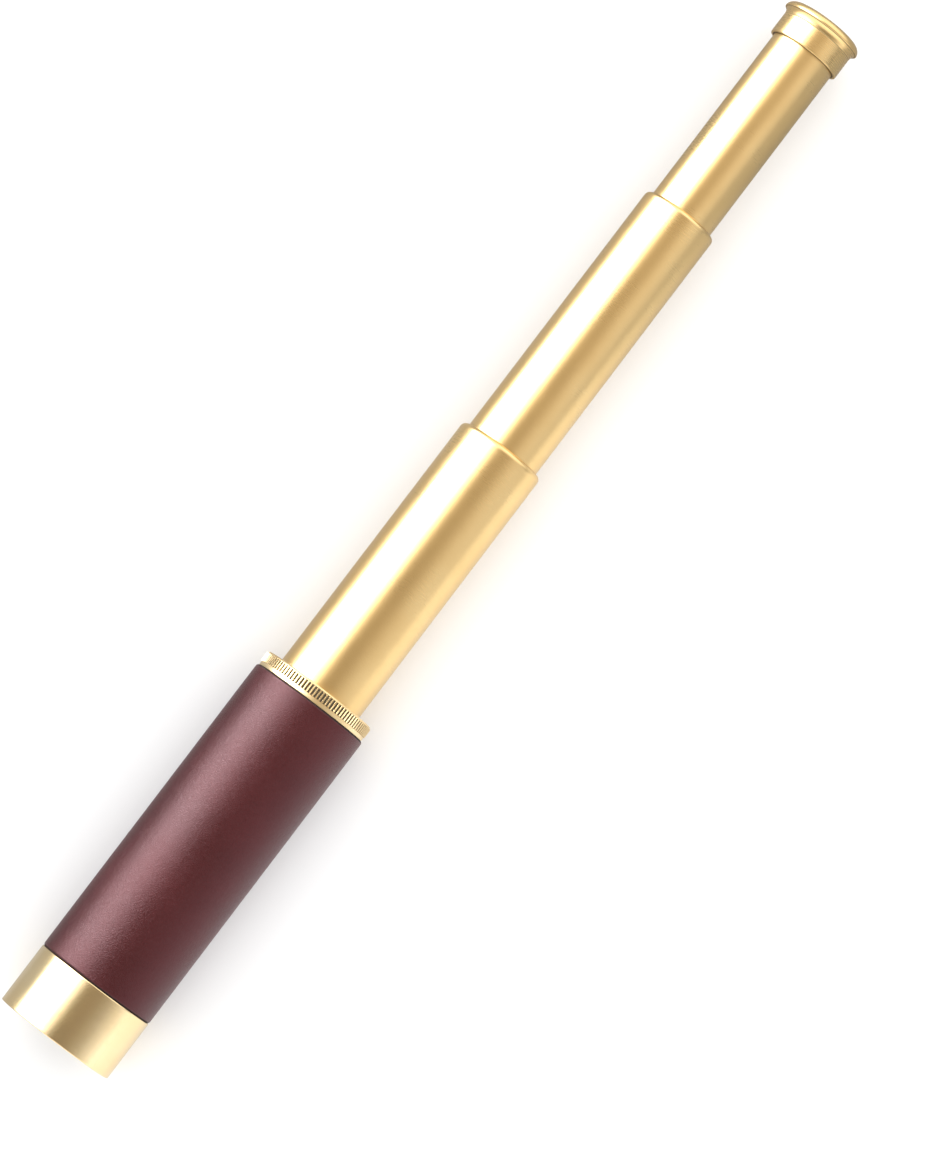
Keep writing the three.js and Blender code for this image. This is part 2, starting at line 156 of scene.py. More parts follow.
BARREL_BORE_R = BARREL.radius - BARREL_WALL
THREAD_CREST_R = RETAINER.radius + 0.1
MOUTH_R = THREAD_CREST_R + 0.5


# ---- Outlines -----------------------------------------------------------------------------------

def arc(centre, radius, start, end, steps):
    """Points of an arc. 0 degrees points to the eye, and 90 points away from the axis."""
    angles = [math.radians(start + (end - start) * i / steps) for i in range(steps + 1)]
    return [(centre[0] + radius * math.cos(a), centre[1] + radius * math.sin(a), 0) for a in angles]


def softened(outline, soft):
    """The outline with its corners rounded, each by its own rounding or else by soft."""
    closed = all(point[1] > 0 for point in outline)
    largest_share = 0.45
    too_small = 1e-4
    made = []
    for i, point in enumerate(outline):
        here = Vector(point[:2])
        before = Vector(outline[i - 1][:2]) - here
        after = Vector(outline[(i + 1) % len(outline)][:2]) - here
        size = point[2] if len(point) > 2 else soft
        size = min(size, largest_share * before.length, largest_share * after.length)
        open_end = not closed and i in (0, len(outline) - 1)
        if size < too_small or open_end:
            made.append(tuple(here))
            continue
        start = here + before.normalized() * size
        end = here + after.normalized() * size
        for step in range(SOFT_STEPS + 1):
            t = step / SOFT_STEPS
            made.append(tuple(start * (1 - t) ** 2 + here * 2 * t * (1 - t) + end * t * t))
    return made


def supported(outline):
    """The outline with two more points near the ends of each long stretch, to keep its shading even."""
    closed = all(point[1] > 0 for point in outline)
    near = 0.12
    long_stretch = 8 * near
    made = []
    for i, point in enumerate(outline):
        made.append(point)
        if not closed and i == len(outline) - 1:
            break
        here = Vector(point)
        run = Vector(outline[(i + 1) % len(outline)]) - here
        if run.length > long_stretch:
            made.append(tuple(here + run.normalized() * near))
            made.append(tuple(here + run - run.normalized() * near))
    return made


def sagitta(curve, radius):
    return curve - math.sqrt(curve * curve - radius * radius)


def lens_face(face, radius):
    """The outline of one face of a lens, from the axis out."""
    steps = 12
    points = []
    for i in range(steps + 1):
        r = radius * i / steps
        swell = 0
        if face.bulge:
            swell = face.bulge * (sagitta(face.curve, radius) - sagitta(face.curve, r))
        points.append((face.station + swell, r, 0))
    return points


# ---- Meshes -------------------------------------------------------------------------------------

def even_angles(count):
    return [2 * math.pi * i / count for i in range(count)]


def turned(name, outline, angles, depth=None):
    """A mesh turned about the line of sight. depth(angle, station, radius) is cut from the radius."""
    mesh = bmesh.new()
    rings = []
    for station, radius in outline:
        x = FRONT_X - station * MM
        if radius < ON_AXIS:
            rings.append([mesh.verts.new((x, 0, AXIS_Z))])
            continue
        ring = []
        for angle in angles:
            r = radius - (depth(angle, station, radius) if depth else 0)
            place = (x, r * MM * math.sin(angle), AXIS_Z + r * MM * math.cos(angle))
            ring.append(mesh.verts.new(place))
        rings.append(ring)
    closed = all(len(ring) > 1 for ring in rings)
    following = rings[1:] + rings[:1] if closed else rings[1:]
    count = len(angles)
    for a, b in zip(rings, following):
        for i in range(count):
            j = (i + 1) % count
            corners = [a[i % len(a)], b[i % len(b)], b[j % len(b)], a[j % len(a)]]
            mesh.faces.new(list(dict.fromkeys(corners)))
    bmesh.ops.recalc_face_normals(mesh, faces=mesh.faces)
    data = bpy.data.meshes.new(name)
    mesh.to_mesh(data)
    mesh.free()
    return data


def finished(mesh):
    """Smooth shading, with sharp edges where the surface turns a corner."""
    mesh.polygons.foreach_set("use_smooth", [True] * len(mesh.polygons))
    mesh.set_sharp_from_angle(angle=SHARP_ANGLE)


def cut_away(made, slots):
    """Cuts boxes out of a piece. The middle and the size of a slot are across the line of sight."""
    for slot in slots:
        lower = [middle - size / 2 for middle, size in zip(slot.middle, slot.size)]
        upper = [middle + size / 2 for middle, size in zip(slot.middle, slot.size)]
        low = Vector((FRONT_X - slot.rear * MM, lower[0] * MM, AXIS_Z + lower[1] * MM))
        high = Vector((FRONT_X - slot.front * MM, upper[0] * MM, AXIS_Z + upper[1] * MM))
        block = bmesh.new()
        bmesh.ops.create_cube(block, size=1)
        for vertex in block.verts:
            vertex.co = Vector(h if c > 0 else l for l, h, c in zip(low, high, vertex.co))
        cutter_mesh = bpy.data.meshes.new("cutter")
        block.to_mesh(cutter_mesh)
        block.free()
        cutter = bpy.data.objects.new("cutter", cutter_mesh)
        bpy.context.collection.objects.link(cutter)
        cut = made.modifiers.new("cut", "BOOLEAN")
        cut.operation = "DIFFERENCE"
        cut.object = cutter
        graph = bpy.context.evaluated_depsgraph_get()
        result = bpy.data.meshes.new_from_object(made.evaluated_get(graph))
        made.modifiers.clear()
        made.data = result
        bpy.data.objects.remove(cutter)
    finished(made.data)


def piece(node, outline, material, soft=SOFT, angles=None, depth=None, slots=()):
    """The fine piece that stands for one CAD node."""
    fine = supported(softened(outline, soft))
    mesh = turned(node + "_fine", fine, angles or even_angles(SIDES), depth)
    finished(mesh)
    made = bpy.data.objects.new(node + "_fine", mesh)
    bpy.context.collection.objects.link(made)
    if slots:
        cut_away(made, slots)
    made.data.materials.clear()
    made.data.materials.append(material)
    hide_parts(node)
    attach(made, body_of(node))


# ---- Shader nodes -------------------------------------------------------------------------------

def feed(tree, node, inputs):
    """Fills a node's inputs. Each gets a value, or the output of another node."""
    for key, value in inputs.items():
        if isinstance(value, bpy.types.NodeSocket):
            tree.links.new(value, node.inputs[key])
        else:
            node.inputs[key].default_value = value


def add(tree, kind, inputs=None, **settings):
    """A new shader node with these inputs and settings."""
    made = tree.nodes.new("ShaderNode" + kind)
    for key, value in settings.items():
        setattr(made, key, value)
    feed(tree, made, inputs or {})
    return made


def maths(tree, operation, a, b=0.0):
    return add(tree, "Math", {0: a, 1: b}, operation=operation).outputs[0]


def ranged(tree, value, low, high, to_low=0.0, to_high=1.0):
    """The value, mapped from one range to another and kept inside it."""
    inputs = {"Value": value, "From Min": low, "From Max": high, "To Min": to_low, "To Max": to_high}
    return add(tree, "MapRange", inputs).outputs[0]


def between(tree, value, low, high, soft):
    """1 between two values and 0 outside them."""
    off = maths(tree, "ABSOLUTE", maths(tree, "SUBTRACT", value, (low + high) / 2))
    half = (high - low) / 2
    return ranged(tree, off, half - soft, half + soft, 1.0, 0.0)


def blended(tree, amount, first, second):
    """One colour blended into another. A colour is three numbers, or the output of another node."""
    made = add(tree, "Mix", {"Factor": amount}, data_type="RGBA")
    for socket, colour in ((6, first), (7, second)):
        linked = isinstance(colour, bpy.types.NodeSocket)
        feed(tree, made, {socket: colour if linked else (*colour, 1)})
    return made.outputs[2]


def scaled(tree, vector, amount):
    return add(tree, "VectorMath", {0: vector, "Scale": amount}, operation="SCALE").outputs[0]


def swing(tree, noise_level, amount):
    """Noise from 0 to 1 as a change to both sides of zero."""
    return maths(tree, "MULTIPLY", maths(tree, "SUBTRACT", noise_level, 0.5), amount)


def noise(tree, vector, scale, detail=3.0, rough=0.5):
    inputs = {"Vector": vector, "Scale": scale, "Detail": detail, "Roughness": rough}
    return add(tree, "TexNoise", inputs).outputs[0]


def emboss(tree, shader, height, strength):
    """Bumps in a surface. The height is in millimetres."""
    bump = add(tree, "Bump", {"Height": height, "Distance": MM, "Strength": strength})
    feed(tree, shader, {"Normal": bump.outputs[0]})


# ---- Materials ----------------------------------------------------------------------------------

# The colour of painted shade in grooves and gaps, and how much rougher it makes the surface, as the
# leather's edge ink does
PAINTED_SHADE = (0.016, 0.010, 0.006)
SHADE_AND_INK_ROUGHER = 0.4

PALE_GOLD = (0.96, 0.77, 0.46)
GOLD = (0.89, 0.645, 0.305)
DULL_GOLD = (0.82, 0.565, 0.245)
BROWN_GOLD = (0.80, 0.57, 0.27)
DULL_BROWN_GOLD = (0.66, 0.44, 0.19)


def new_material(name):
    """A material, its node tree, its shader and the object coordinates in millimetres from the axis."""
    material = bpy.data.materials.new(name)
    material.use_nodes = True
    tree = material.node_tree
    shader = tree.nodes["Principled BSDF"]
    spot = add(tree, "TexCoord").outputs["Object"]
    inputs = {"Location": (0, 0, -AXIS_Z / MM), "Scale": (1 / MM, 1 / MM, 1 / MM)}
    place = add(tree, "Mapping", {"Vector": spot, **inputs}).outputs[0]
    return material, tree, shader, place


def painted_shade_amount(tree, place, radius, patch):
    """How much painted shade there is in a patch, which lies between two stations and between two
    radii.
    """
    along = add(tree, "SeparateXYZ", {0: place}).outputs[0]
    station = maths(tree, "SUBTRACT", FRONT_X / MM, along)
    in_stations = between(tree, station, patch.front, patch.rear, soft=0.04)
    in_radii = between(tree, radius, patch.inner, patch.outer, soft=0.06)
    return maths(tree, "MULTIPLY", maths(tree, "MULTIPLY", in_stations, in_radii), patch.amount)


def turning_marks(tree, place, pitch):
    """Fine rings round the axis, left by a lathe or a polishing wheel, and the radius of each spot."""
    axes = add(tree, "SeparateXYZ", {0: place}).outputs
    squares = [maths(tree, "POWER", axes[i], 2) for i in (1, 2)]
    radius = maths(tree, "SQRT", maths(tree, "ADD", *squares))
    slow = 0.02
    parts = {
        0: maths(tree, "MULTIPLY", maths(tree, "ADD", axes[0], radius), 1 / pitch),
        1: maths(tree, "MULTIPLY", axes[1], slow / pitch),
        2: maths(tree, "MULTIPLY", axes[2], slow / pitch),
    }
    vector = add(tree, "CombineXYZ", parts).outputs[0]
    return noise(tree, vector, 1.0, 2.0), radius


def brass(name, colour, dull, roughness, marks=0.02, shade_patches=()):
    """Lacquered satin brass, with shade painted into the patches given. Marks is the rings' height."""
    material, tree, shader, place = new_material(name)
    rings, radius = turning_marks(tree, place, 0.09)
    cloud = noise(tree, place, 0.06, 4.0)
    speckle = noise(tree, place, 2.2, 3.0, 0.6)
    speckle_height = 0.03

    shade = [channel * 0.9 for channel in dull]
    tone = blended(tree, ranged(tree, cloud, 0.35, 0.7, 0.0, 0.55), colour, dull)
    tone = blended(tree, ranged(tree, rings, 0.5, 0.9, 0.0, 0.25), tone, shade)
    rough = maths(tree, "ADD", swing(tree, cloud, 0.16), swing(tree, rings, 0.10))
    rough = maths(tree, "ADD", rough, roughness)
    metal = 1.0
    # Painted shade: in the patches the colour goes dark and stops being metal, standing in for shade.
    if shade_patches:
        shade_mark = 0.0
        for patch in shade_patches:
            shade_mark = maths(tree, "MAXIMUM", shade_mark, painted_shade_amount(tree, place, radius, patch))
        tone = blended(tree, shade_mark, tone, PAINTED_SHADE)
        rough = maths(tree, "ADD", rough, maths(tree, "MULTIPLY", shade_mark, SHADE_AND_INK_ROUGHER))
        metal = maths(tree, "SUBTRACT", 1.0, shade_mark)
    feed(tree, shader, {"Base Color": tone, "Roughness": rough, "Metallic": metal})

    ring_heights = maths(tree, "MULTIPLY", rings, marks)
    speckle_heights = maths(tree, "MULTIPLY", speckle, speckle_height)
    emboss(tree, shader, maths(tree, "ADD", ring_heights, speckle_heights), 0.5)
    return material


def oxblood_leather():
    """Smooth burnished leather: shallow pores and creases, a slow change of colour and inked edges."""
    dark_red = (0.046, 0.0016, 0.0026)
    light_red = (0.064, 0.0032, 0.0046)
    crease_red = (0.024, 0.0015, 0.0022)
    ink = (0.004, 0.002, 0.002)
    material, tree, shader, place = new_material("oxblood_leather")

    warp = add(tree, "TexNoise", {"Vector": place, "Scale": 0.9, "Detail": 2.0}).outputs["Color"]
    bend = {0: place, 1: scaled(tree, warp, 0.7)}
    bent = add(tree, "VectorMath", bend, operation="ADD").outputs[0]
    cells = add(tree, "TexVoronoi", {"Vector": bent, "Scale": 1.9}, feature="DISTANCE_TO_EDGE")
    crease = ranged(tree, cells.outputs["Distance"], 0.0, 0.16)
    cloud = noise(tree, place, 0.05, 4.0)
    pores = noise(tree, place, 7.0, 3.0, 0.6)
    hide = noise(tree, place, 1.6, 2.0)

    along = add(tree, "SeparateXYZ", {0: place}).outputs[0]
    middle = FRONT_X / MM - (SLEEVE.front + SLEEVE.rear) / 2
    from_middle = maths(tree, "ABSOLUTE", maths(tree, "SUBTRACT", along, middle))
    half = (SLEEVE.rear - SLEEVE.front) / 2
    inked = ranged(tree, from_middle, half - 0.55, half - 0.35)

    tone = blended(tree, ranged(tree, cloud, 0.3, 0.75), dark_red, light_red)
    tone = blended(tree, ranged(tree, crease, 0.0, 0.7, 0.4, 0.0), tone, crease_red)
    tone = blended(tree, inked, tone, ink)
    cloud_rough = ranged(tree, cloud, 0.3, 0.7, 0.29, 0.36)
    pore_rough = ranged(tree, pores, 0.3, 0.7, -0.03, 0.05)
    rough = maths(tree, "ADD", cloud_rough, pore_rough)
    rough = maths(tree, "ADD", rough, maths(tree, "MULTIPLY", inked, SHADE_AND_INK_ROUGHER))
    feed(tree, shader, {
        "Base Color": tone,
        "Roughness": rough,
        "Specular IOR Level": 0.63,
        "Specular Tint": (1.0, 0.69, 0.73, 1),
        "Sheen Weight": 0.1,
        "Sheen Roughness": 0.1,
        "Sheen Tint": (1.0, 0.72, 0.78, 1),
    })

    grain = maths(tree, "MULTIPLY", crease, 0.035)
    grain = maths(tree, "ADD", grain, maths(tree, "MULTIPLY", pores, 0.025))
    grain = maths(tree, "ADD", grain, maths(tree, "MULTIPLY", hide, 0.035))
    emboss(tree, shader, grain, 0.7)
    return material


def blackened():
    """Matt black lacquer over turned metal."""
    deep_black = (0.010, 0.010, 0.011)
    worn_black = (0.022, 0.021, 0.021)
    material, tree, shader, place = new_material("matt_black")
    rings, _ = turning_marks(tree, place, 0.25)
    cloud = noise(tree, place, 0.3, 3.0)
    tone = blended(tree, ranged(tree, cloud, 0.3, 0.7), deep_black, worn_black)
    feed(tree, shader, {"Base Color": tone, "Roughness": ranged(tree, rings, 0.2, 0.8, 0.48, 0.68)})
    emboss(tree, shader, maths(tree, "MULTIPLY", rings, 0.05), 0.6)
    return material


def felt():
    dark_green = (0.015, 0.03, 0.022)
    light_green = (0.07, 0.11, 0.085)
    material, tree, shader, place = new_material("green_felt")
    fibres = noise(tree, place, 6.0, 5.0, 0.7)
    tone = blended(tree, fibres, dark_green, light_green)
    feed(tree, shader, {"Base Color": tone, "Roughness": 1.0, "Sheen Weight": 0.5})
    emboss(tree, shader, maths(tree, "MULTIPLY", fibres, 0.2), 0.8)
    return material


def glass(name, glint, clear):
    """Polished optical glass. Glint tints its reflections, and clear is how little haze it has."""
    material, tree, shader, place = new_material(name)
    dust = noise(tree, place, 3.0, 4.0, 0.6)
    drawn_out = add(tree, "Mapping", {"Vector": place, "Scale": (1, 0.5, 0.12)}).outputs[0]
    streak = noise(tree, drawn_out, 1.0, 3.0)
    feed(tree, shader, {
        "Base Color": (0.93, 0.96, 0.98, 1),
        "Roughness": ranged(tree, dust, 0.55, 0.85, 0.0, 0.06),
        "Transmission Weight": ranged(tree, streak, 0.3, 0.7, clear - 0.03, clear),
        "IOR": 1.52,
        "Specular Tint": (*glint, 1),
    })
    return material


SATIN = brass("satin_brass", GOLD, DULL_GOLD, 0.30)
BLACK = blackened()
FELT = felt()
TURNED = brass("turned_brass", BROWN_GOLD, DULL_BROWN_GOLD, 0.34, marks=0.05)
COATED = glass("coated_glass", glint=(0.75, 0.8, 1.0), clear=0.93)
CLEAR = glass("clear_glass", glint=(0.8, 0.85, 1.0), clear=1.0)
LEATHER = oxblood_leather()


# ---- Barrel -------------------------------------------------------------------------------------

def mouth_thread(first):
    """Ridges in the mouth of the cell, from its rim in. The last one runs on as a plain bore."""
    crest_soft = 0.08
    valley_soft = 0.06
    points = [(first, MOUTH_R, valley_soft)]
    for turn in range(THREAD_TURNS):
        start = first + turn * THREAD_PITCH
        points += [
            (start + THREAD_PITCH * 0.38, THREAD_CREST_R, crest_soft),
            (start + THREAD_PITCH * 0.62, THREAD_CREST_R, crest_soft),
            (start + THREAD_PITCH, MOUTH_R, valley_soft),
        ]
    return points + [(first + (THREAD_TURNS + 0.4) * THREAD_PITCH, THREAD_CREST_R, crest_soft)]


def objective_cell():
    inner_lip = 13.2
    socket = 12.4
    slack = 0.1
    seat = FLINT.rear + FIXED_GAP
    light_path = CROWN.radius - 0.6
    bore = BARREL_BORE_R - FIXED_GAP
    first_valley = CELL.front + THREAD_FIRST
    outline = [
        (CELL.front, CELL.radius, 0.28),
        (CELL.rear, CELL.radius, 0.3),
        (CELL.rear, BARREL.radius + FIXED_GAP),
        (socket, BARREL.radius + FIXED_GAP),
        (socket, bore),
        (inner_lip, bore),
        (inner_lip, light_path),
        (seat, light_path),
        (seat, CROWN.radius + slack),
        (RETAINER.rear + slack, CROWN.radius + slack),
        (RETAINER.rear + slack, THREAD_CREST_R),
        *reversed(mouth_thread(first_valley)),
        (CELL.front + 0.15, MOUTH_R, 0.05),
        (CELL.front, MOUTH_R + 0.15, 0.08),
    ]
    # Painted shade in the thread's valleys.
    half_valley = 0.22
    shade_patches = []
    for turn in range(THREAD_TURNS + 1):
        valley = first_valley + turn * THREAD_PITCH
        ends = (valley - half_valley, valley + half_valley)
        shade_patches.append(Patch(*ends, THREAD_CREST_R + 0.15, MOUTH_R + 0.1, 0.95))
    piece("objective_cell", outline, brass("polished_brass", PALE_GOLD, GOLD, 0.21, shade_patches=shade_patches))


def objective_retainer():
    """A ring with two spanner slots in its front face."""
    front, rear, outside = RETAINER
    bore = CROWN.radius - 0.4
    bevel = 0.3
    slot_depth = 0.6
    slot_size = (1.4, 3)
    outline = [
        (front, bore + bevel, 0.1),
        (front, outside),
        (rear, outside),
        (rear, bore),
        (front + bevel, bore),
    ]
    slots = [Slot(front - 1, front + slot_depth, (0, side * bore), slot_size) for side in (-1, 1)]
    piece("objective_retaining_ring", outline, TURNED, slots=slots)


def lens(node, front_face, rear_face, material):
    radius = span(node).radius
    outline = lens_face(front_face, radius) + lens_face(rear_face, radius)[::-1]
    piece(node, outline, material, soft=0)


def objective_lenses():
    """A crown element that swells on both faces, and a flint element that fits it and ends flat."""
    front_curve = 95
    shared_curve = 65
    crown_edge = (5.65, 6.95)
    flint_front = 7.0
    crown_front_face = Face(crown_edge[0], front_curve, TO_OBJECT)
    crown_rear_face = Face(crown_edge[1], shared_curve, TO_EYE)
    lens("objective_crown_lens", crown_front_face, crown_rear_face, COATED)
    flint_front_face = Face(flint_front, shared_curve, TO_EYE)
    lens("objective_flint_lens", flint_front_face, Face(FLINT.rear, 0, FLAT), COATED)


def plain_tube(node, wall, material):
    front, rear, outside = span(node)
    bore = outside - wall
    outline = [(front, bore), (front, outside), (rear, outside), (rear, bore)]
    piece(node, outline, material)


def leather_sleeve():
    """A skin wrapped round the barrel, with its edges pared and pressed down and a butt seam below."""
    front, rear, outside = SLEEVE
    inside = BARREL.radius + FIXED_GAP
    pared = 0.45
    pressed = 0.5
    skin = outside - 0.3
    seam_deep = 0.16
    seam_half_angle = 0.006
    fine_step = 0.004
    fine_steps = 5
    seam = [SEAM_ANGLE + fine_step * step for step in range(-fine_steps, fine_steps + 1)]
    clear = fine_step * (fine_steps + 1)
    angles = sorted([a for a in even_angles(SIDES) if abs(a - SEAM_ANGLE) > clear] + seam)

    def seam_depth(angle, station, radius):
        if radius < skin:
            return 0
        return seam_deep * math.exp(-(((angle - SEAM_ANGLE) / seam_half_angle) ** 2))

    outline = [
        (front, inside),
        (front, outside - pressed, 0.1),
        (front + pared, outside, 0.3),
        (rear - pared, outside, 0.3),
        (rear, outside - pressed, 0.1),
        (rear, inside),
    ]
    piece("leather_sleeve", outline, LEATHER, angles=angles, depth=seam_depth)


def knurled_end_ring():
    """The ring behind the sleeve: straight knurls between two plain bands, and a bevelled edge."""
    front, rear, outside = END_RING
    felt_front, felt_rear, felt_radius = span("barrel_friction_felt")
    bore = LARGE.radius + 0.1
    neck = BARREL_BORE_R - FIXED_GAP
    band_front = SLEEVE.rear + FIXED_GAP
    band = outside - 0.22
    groove = band - 0.2
    knurl_front = SLEEVE.rear + 1.3
    knurl_rear = rear - 0.55
    crest_share = 0.28
    flank_share = 0.38
    sides_per_knurl = 8

    def knurls(angle, station, radius):
        if radius < outside - 0.05 or not knurl_front < station < knurl_rear:
            return 0
        from_crest = abs((KNURLS * angle / (2 * math.pi)) % 1 - 0.5) * 2
        return KNURL_DEPTH * min(1, max(0, (from_crest - crest_share) / flank_share))

    outline = [
        (front, bore),
        (front, neck),
        (band_front, neck),
        (band_front, band, 0.12),
        (knurl_front - 0.12, band, 0),
        (knurl_front - 0.1, groove, 0),
        (knurl_front, groove, 0),
        (knurl_front + 0.02, outside, 0),
        (knurl_rear - 0.02, outside, 0),
        (knurl_rear, groove, 0),
        (knurl_rear + 0.1, groove, 0),
        (knurl_rear + 0.12, band, 0.05),
        (rear, band - 0.3, 0.12),
        (rear, bore + 0.3, 0.2),
        (rear - 0.3, bore),
        (felt_rear, bore),
        (felt_rear, felt_radius),
        (felt_front, felt_radius),
        (felt_front, bore),
    ]
    # Painted shade in the knurls' valleys.
    valleys = Patch(knurl_front, knurl_rear, outside - 0.6, outside - 0.24, 0.94)
    material = brass("knurled_brass", PALE_GOLD, GOLD, 0.36, shade_patches=[valleys])
    angles = even_angles(KNURLS * sides_per_knurl)
    piece("knurled_end_ring", outline, material, angles=angles, depth=knurls)


# ---- Draw tubes ---------------------------------------------------------------------------------

def rolled_tube(node, mouth, corner):
    """A draw tube whose rear end is rolled in to a rounded shoulder, with a line of painted shade at
    the mouth.
    """
    front, rear, outside = span(node)
    # Painted shade in the gap at the mouth.
    shade_mark = Patch(rear - 1, rear + 0.1, mouth - 0.1, mouth + 0.2, 0.9)
    material = brass(node + "_brass", GOLD, DULL_GOLD, 0.30, shade_patches=[shade_mark])
    turn = (rear - corner, outside - corner)
    outline = [
        (front, outside - TUBE_WALL),
        (front, outside),
        *arc(turn, corner, 90, 8, 10),
        (rear, mouth + 0.4, 0.1),
        (rear - 0.1, mouth + 0.2, 0.05),
        (rear - 0.45, mouth + 0.1, 0.05),
        (rear - TUBE_WALL, mouth),
        *arc(turn, corner - TUBE_WALL, 0, 90, 5),
    ]
    piece(node, outline, material)


def eyecup():
    """A collar, a hollow flare above a fine crease, a round rim with a crest, and a dish."""
    front, rear, outside = EYECUP
    collar = 11.3
    flare = 2.6
    rim_curve = 2.2
    hole = 5.5
    dish_edge = (rear - 2.4, hole + 2.6, 1.2)
    hole_edge = (rear - 3.6, hole, 0.3)
    socket_end = SMALL.rear + 0.1
    crease = rear - 4.3
    crest = rear - 2.3
    outline = [
        (front, SMALL.radius + FIXED_GAP),
        (front, collar, 0.25),
        (crease - 0.12, collar, 0.04),
        (crease, collar - 0.1, 0.04),
        *arc((crease + 0.15, collar + flare), flare, -88, -42, 8),
        (crest, outside - 0.3, 0.02),
        (crest + 0.05, outside - 0.1, 0.04),
        *arc((rear - rim_curve, outside - rim_curve), rim_curve, 86, -20, 22),
        dish_edge,
        hole_edge,
        (socket_end, hole),
        (socket_end, SMALL.radius + FIXED_GAP),
    ]
    # Painted shade at the collar's foot, in the crease and under the rim's crest.
    shade_patches = [
        Patch(front - 0.2, front + 0.15, SMALL.radius, SMALL.radius + 0.5, 0.95),
        Patch(front - 0.2, front + 0.12, SMALL.radius, collar - 0.1, 0.5),
        Patch(crease - 0.1, crease + 0.1, collar - 0.3, collar + 0.3, 0.65),
        Patch(crest - 0.1, crest + 0.06, outside - 0.6, outside + 0.2, 0.75),
    ]
    piece("eyecup", outline, brass("eyecup_brass", GOLD, DULL_GOLD, 0.27, shade_patches=shade_patches))


# ---- Pieces inside ------------------------------------------------------------------------------

# These keep the outlines that they have in CAD.
INSIDE = {
    "barrel_friction_felt": FELT,
    "large_stop_ring": BLACK,
    "large_guide_bush": TURNED,
    "large_friction_felt": FELT,
    "middle_stop_ring": TURNED,
    "middle_diaphragm": BLACK,
    "middle_guide_bush": TURNED,
    "middle_friction_felt": FELT,
    "small_stop_ring": TURNED,
    "erector_tube": BLACK,
    "erector_front_ring": BLACK,
    "erector_stop": BLACK,
    "erector_rear_ring": BLACK,
    "eyepiece_cell": BLACK,
    "field_lens_ring": BLACK,
    "field_stop": BLACK,
    "eyepiece_spacer": BLACK,
}


def erector_lens(node):
    """A lens that swells on both faces."""
    curve = 25
    half_edge = 1
    ends = span(node)
    middle = (ends.front + ends.rear) / 2
    front_face = Face(middle - half_edge, curve, TO_OBJECT)
    rear_face = Face(middle + half_edge, curve, TO_EYE)
    lens(node, front_face, rear_face, CLEAR)


def eyepiece_lens(node, edge, curve):
    """A lens that swells towards the object and is flat towards the eye."""
    rear = span(node).rear
    lens(node, Face(rear - edge, curve, TO_OBJECT), Face(rear, 0, FLAT), CLEAR)


# ---- The spyglass -------------------------------------------------------------------------------

objective_cell()
objective_retainer()
objective_lenses()
plain_tube("barrel_tube", BARREL_WALL, BLACK)
leather_sleeve()
knurled_end_ring()
rolled_tube("large_draw_tube", mouth=MIDDLE.radius + 0.15, corner=1.6)
rolled_tube("middle_draw_tube", mouth=SMALL.radius + 0.15, corner=1.4)
plain_tube("small_draw_tube", TUBE_WALL, SATIN)
eyecup()
for inner_node, inner_material in INSIDE.items():
    piece(inner_node, meridian(inner_node), inner_material)
erector_lens("erector_front_lens")
erector_lens("erector_rear_lens")
eyepiece_lens("field_lens", edge=1.4, curve=20)
eyepiece_lens("eye_lens", edge=1.2, curve=16)


# ---- Studio -------------------------------------------------------------------------------------

def studio_floor():
    """A pale floor. What shines mirrors it grey, and white only beside the front half, towards +Y."""
    pale = (0.93, 0.93, 0.93)
    near_grey = (0.36, 0.36, 0.36)
    far_grey = (0.32, 0.32, 0.32)
    far_white = (0.9, 0.9, 0.9)
    size = 40
    mesh = bpy.data.meshes.new("floor")
    corners = [(-size, -size, 0), (size, -size, 0), (size, size, 0), (-size, size, 0)]
    mesh.from_pydata(corners, [], [(0, 1, 2, 3)])
    floor = bpy.data.objects.new("floor", mesh)
    bpy.context.collection.objects.link(floor)
    material = bpy.data.materials.new("pale_floor")
    material.use_nodes = True
    tree = material.node_tree
    spot = add(tree, "SeparateXYZ", {0: add(tree, "TexCoord").outputs["Object"]}).outputs
    at_front = ranged(tree, spot[0], -0.14, -0.04)
    on_far_side = ranged(tree, spot[1], -0.05, 0.05)
    far_floor = blended(tree, at_front, far_grey, far_white)
    in_mirror = blended(tree, on_far_side, near_grey, far_floor)
    mirrored = add(tree, "LightPath").outputs["Is Glossy Ray"]
    feed(tree, tree.nodes["Principled BSDF"], {
        "Base Color": blended(tree, mirrored, pale, in_mirror),
        "Roughness": 0.9,
        "Specular IOR Level": 0.2,
    })
    mesh.materials.append(material)


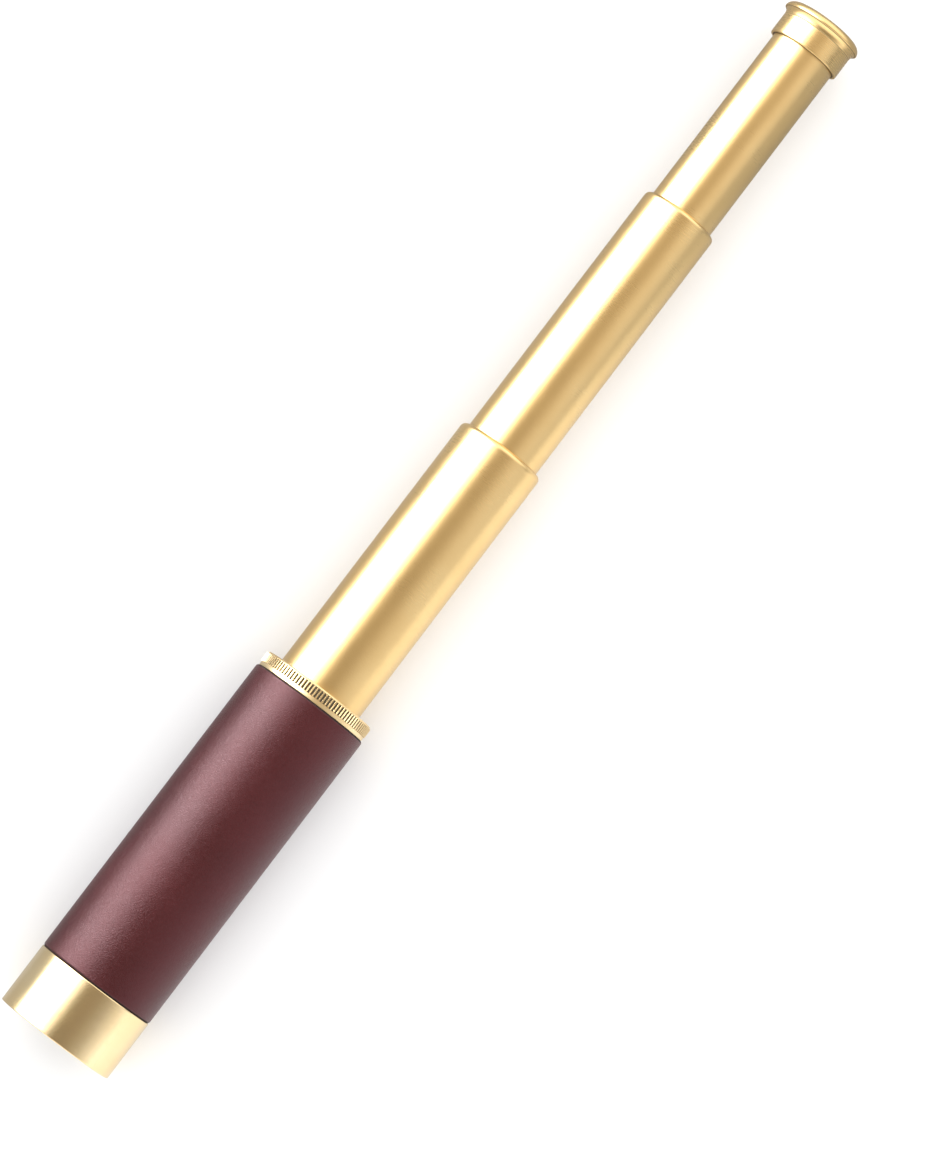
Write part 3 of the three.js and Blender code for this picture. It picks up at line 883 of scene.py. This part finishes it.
def studio_light():
    """A white tent. What shines mirrors a bright window on one long side and a dim warm ceiling.

    The brightness goes by the angle from straight up towards -Y, seen along the line of sight. The
    near side, towards -Y, and the ceiling get brighter towards the eye end. The far side gets dimmer.
    Both even out in the two end walls.
    """
    white = 1.42
    window = (8.5, 8.5, 8.5)
    ceiling = (0.36, 0.30, 0.225)
    far_side = (1.18, 1.18, 1.2)
    end_wall = (1.6, 1.58, 1.52)
    stops = [
        (-180, far_side),
        (-100, far_side),
        (-15, ceiling),
        (2, ceiling),
        (60, window),
        (118, far_side),
    ]
    strength = max(window)
    world = bpy.data.worlds.new("tent")
    bpy.context.scene.world = world
    world.use_nodes = True
    tree = world.node_tree

    way = add(tree, "SeparateXYZ", {0: add(tree, "TexCoord").outputs["Generated"]}).outputs
    towards_near = maths(tree, "MULTIPLY", way[1], -1)
    turn = maths(tree, "ARCTAN2", towards_near, way[2])
    ramp = add(tree, "ValToRGB", {0: ranged(tree, turn, -math.pi, math.pi)})
    ramp.color_ramp.interpolation = "EASE"
    bands = ramp.color_ramp.elements
    while len(bands) < len(stops):
        bands.new(0.5)
    for band, (angle, colour) in zip(bands, stops):
        band.position = (angle + 180) / 360
        band.color = (*(channel / strength for channel in colour), 1)

    near_level = ranged(tree, way[0], -0.15, 0.06, 1.75, 0.5)
    far_level = ranged(tree, way[0], -0.15, -0.01, 0.08, 1.3)
    in_far_half = ranged(tree, turn, math.radians(-85), math.radians(-45), 1.0, 0.0)
    difference = maths(tree, "SUBTRACT", far_level, near_level)
    level = maths(tree, "ADD", near_level, maths(tree, "MULTIPLY", in_far_half, difference))
    banded = scaled(tree, ramp.outputs[0], level)
    towards_end = ranged(tree, maths(tree, "ABSOLUTE", way[0]), 0.3, 0.65)
    graded = blended(tree, towards_end, banded, [channel / strength for channel in end_wall])

    mirrored = add(tree, "Background", {"Color": graded, "Strength": strength})
    plain = add(tree, "Background", {"Color": (1, 1, 1, 1), "Strength": white})
    path = add(tree, "LightPath").outputs
    before_diffuse = maths(tree, "LESS_THAN", path["Diffuse Depth"], 0.5)
    shining = maths(tree, "MULTIPLY", path["Is Glossy Ray"], before_diffuse)
    mixed = add(tree, "MixShader", {0: shining, 1: plain.outputs[0], 2: mirrored.outputs[0]})
    feed(tree, tree.nodes["World Output"], {"Surface": mixed.outputs[0]})


def camera():
    azimuth = math.radians(CAMERA_AZIMUTH)
    elevation = math.radians(CAMERA_ELEVATION)
    level = math.cos(elevation)
    away = Vector((math.sin(azimuth) * level, -math.cos(azimuth) * level, math.sin(elevation)))
    aim = Vector((CAMERA_AIM[0] * MM, CAMERA_AIM[1] * MM, AXIS_Z))
    data = bpy.data.cameras.new("camera")
    data.lens = CAMERA_LENS
    made = bpy.data.objects.new("camera", data)
    bpy.context.collection.objects.link(made)
    made.location = aim + away * CAMERA_DISTANCE * MM
    made.rotation_euler = (-away).to_track_quat("-Z", "Y").to_euler()
    bpy.context.scene.camera = made


studio_floor()
studio_light()
camera()
bpy.context.scene.view_settings.view_transform = "Standard"
